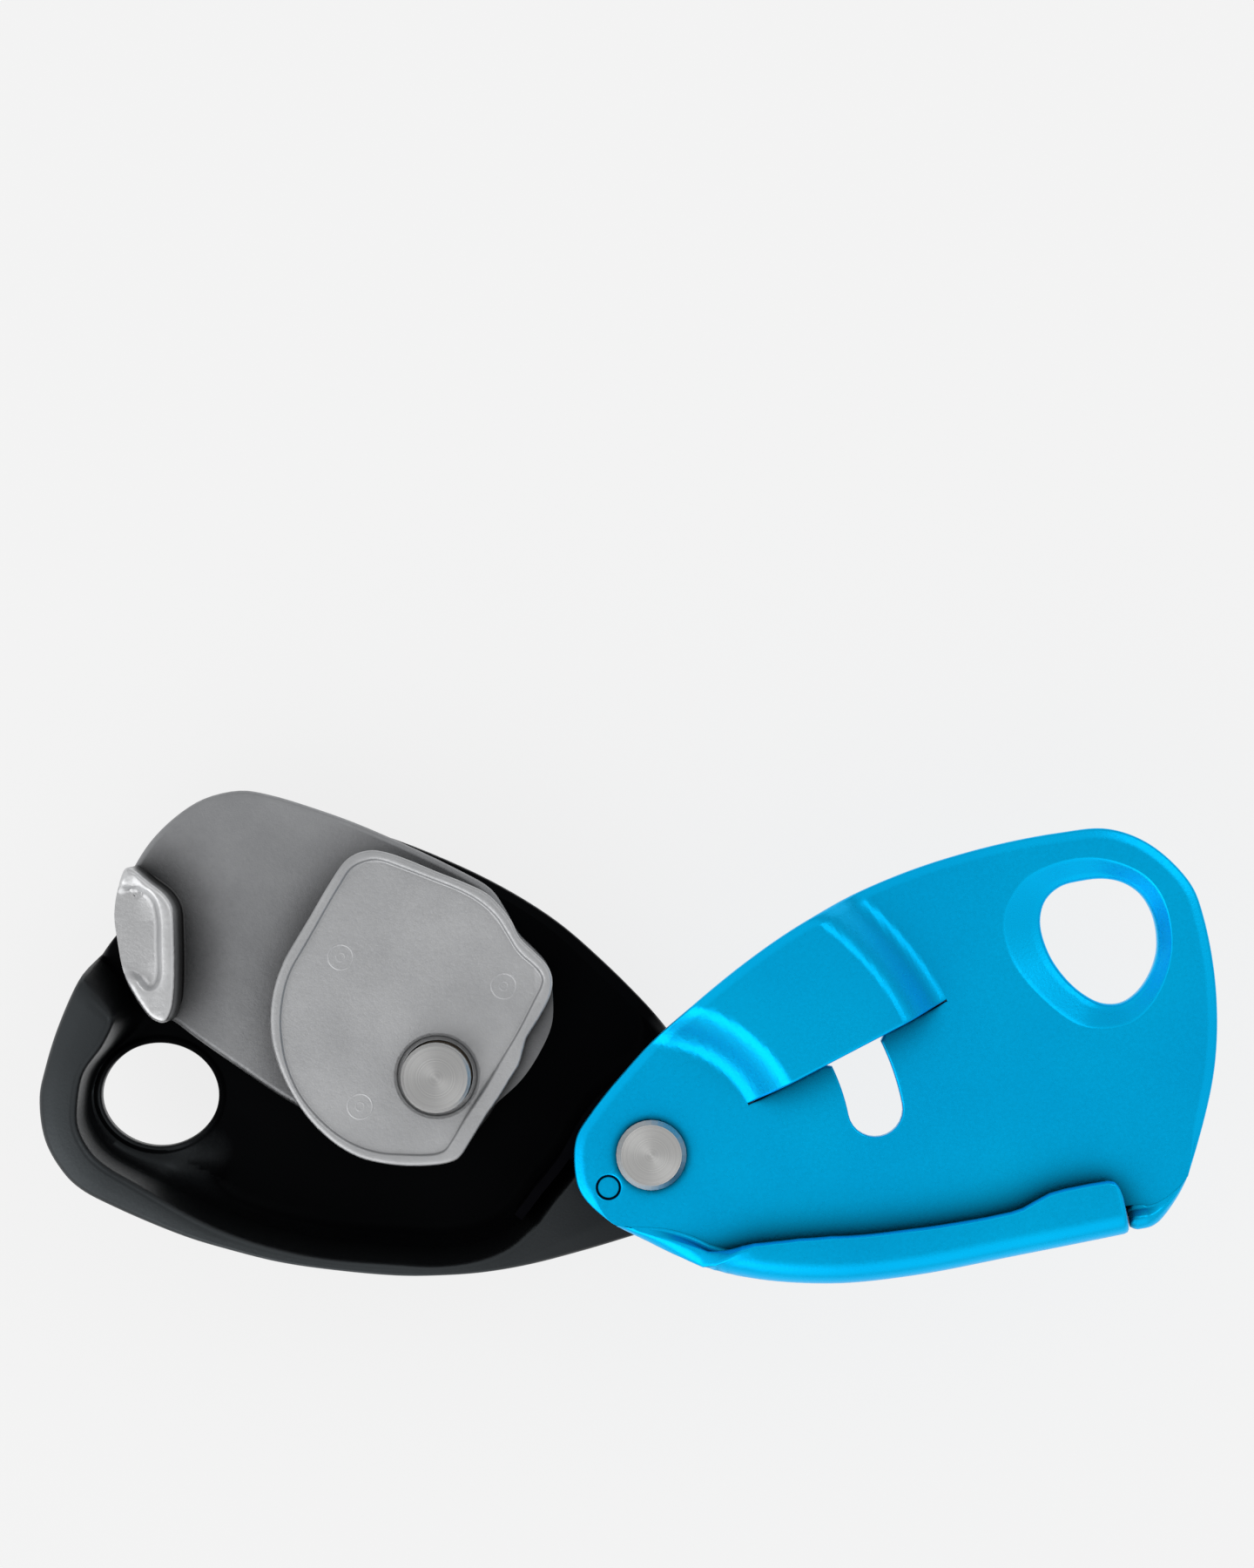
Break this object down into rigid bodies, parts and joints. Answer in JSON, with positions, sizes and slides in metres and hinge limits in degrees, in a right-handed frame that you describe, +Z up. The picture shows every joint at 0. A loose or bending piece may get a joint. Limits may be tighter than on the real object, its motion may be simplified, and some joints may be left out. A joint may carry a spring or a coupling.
{
  "type": "assisted braking belay device",
  "caption": "Assisted braking belay device lying open: a drawn tray and a swinging side plate on one rivet, a grooved cam between them, and a folding release lever behind.",
  "frame": {"origin": "middle of the footprint, on the resting face of the lever's hub cover and grip", "axes": "+X along the opened device from the tray to the moving side plate, +Y towards the cam's nose, +Z up out of the tray, along every hinge axis"},
  "size_m": [0.152, 0.063, 0.0343],
  "materials": {
    "blue_aluminium": "satin blue anodised",
    "black_aluminium": "satin black anodised",
    "cast_steel": "fine blasted casting",
    "turned_steel": "turned and polished",
    "spring_steel": "drawn wire and stamped strip",
    "bronze": "sintered bearing bronze",
    "black_nylon": "fine moulded grain",
    "grey_acetal": "moulded satin"
  },
  "bodies": {
    "frame": {"fixed_side_plate": "black_aluminium", "friction_plate": "turned_steel", "pivot_rivet": "turned_steel", "cam_axle": "turned_steel", "axle_collar": "turned_steel", "axle_retaining_ring": "spring_steel", "cam_return_spring": "spring_steel", "spring_anchor_pin": "turned_steel"},
    "side_plate": {"moving_side_plate": "blue_aluminium", "pivot_bush": "bronze"},
    "cam": {"cam": "cast_steel", "cam_bush": "bronze", "cam_drive_pin": "turned_steel"},
    "release_lever": {"lever_arm": "turned_steel", "lever_bush": "bronze", "lever_hub_cover": "black_nylon", "cover_screw_1": "turned_steel", "cover_screw_2": "turned_steel", "grip_pin": "turned_steel"},
    "handle_grip": {"grip_back_shell": "black_nylon", "grip_front_shell": "black_nylon", "grip_screw_1": "turned_steel", "grip_screw_2": "turned_steel"},
    "mode_selector": {"selector_knob": "grey_acetal", "selector_shaft": "turned_steel", "selector_lock_spring": "spring_steel"},
    "selector_lock": {"selector_lock_button": "black_nylon"}
  },
  "joints": [
    {"name": "side_plate_hinge", "type": "hinge", "parent": "frame", "child": "side_plate", "pos_m": [0.00337, -0.01511, 0.0284], "axis": [0, 0, 1], "range_deg": [0, 147.2]},
    {"name": "cam_hinge", "type": "hinge", "parent": "frame", "child": "cam", "pos_m": [-0.0242, -0.00519, 0.019], "axis": [0, 0, 1], "range_deg": [-20, 0], "stiffness_Nm_per_rad": 0.03, "springref_deg": 17.19, "deforming": ["cam_return_spring"]},
    {"name": "release_lever_hinge", "type": "hinge", "parent": "frame", "child": "release_lever", "pos_m": [-0.0242, -0.00519, 0.004], "axis": [0, 0, 1], "range_deg": [0, 20]},
    {"name": "grip_fold", "type": "hinge", "parent": "release_lever", "child": "handle_grip", "pos_m": [-0.00733, -0.01915, 0.0046], "axis": [0, 0, 1], "range_deg": [0, 150]},
    {"name": "mode_selector_turn", "type": "hinge", "parent": "frame", "child": "mode_selector", "pos_m": [-0.03959, 0.01191, 0.006], "axis": [0, 0, 1], "range_deg": [0, 90]},
    {"name": "selector_lock_press", "type": "slide", "parent": "mode_selector", "child": "selector_lock", "axis": [0, 0, 1], "range_m": [0, 0.0012], "stiffness_N_per_m": 300, "springref_m": -0.0005, "deforming": ["selector_lock_spring"]}
  ]
}
